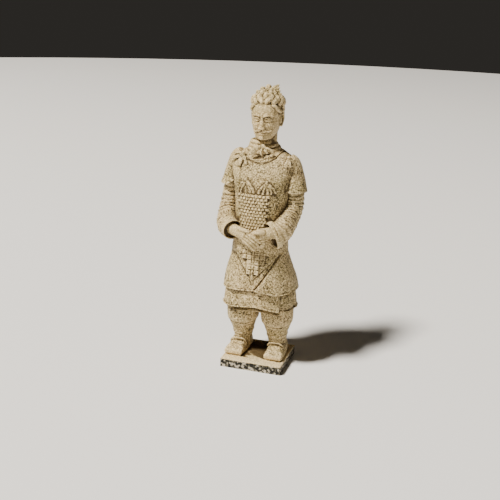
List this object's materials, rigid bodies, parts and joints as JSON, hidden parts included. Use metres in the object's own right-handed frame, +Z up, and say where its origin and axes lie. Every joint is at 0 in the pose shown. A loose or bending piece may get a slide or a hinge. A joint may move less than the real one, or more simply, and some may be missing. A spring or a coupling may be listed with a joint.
{
  "type": "terracotta warrior statue",
  "caption": "Standing officer in scale armour with folded hands, cast in stone in one piece with a low square-edged plinth.",
  "frame": {"origin": "on the plinth's underside, below the middle of the figure", "axes": "+Z up along the figure, -Y the way the figure faces, +X towards the figure's left hand"},
  "size_m": [0.1687, 0.1328, 0.5405],
  "materials": {
    "cast_stone": "matte gritty cast stone, sand-coloured with dark grains and a brown wash in its hollows"
  },
  "bodies": {
    "root": {"warrior_statue": "cast_stone"}
  },
  "joints": []
}
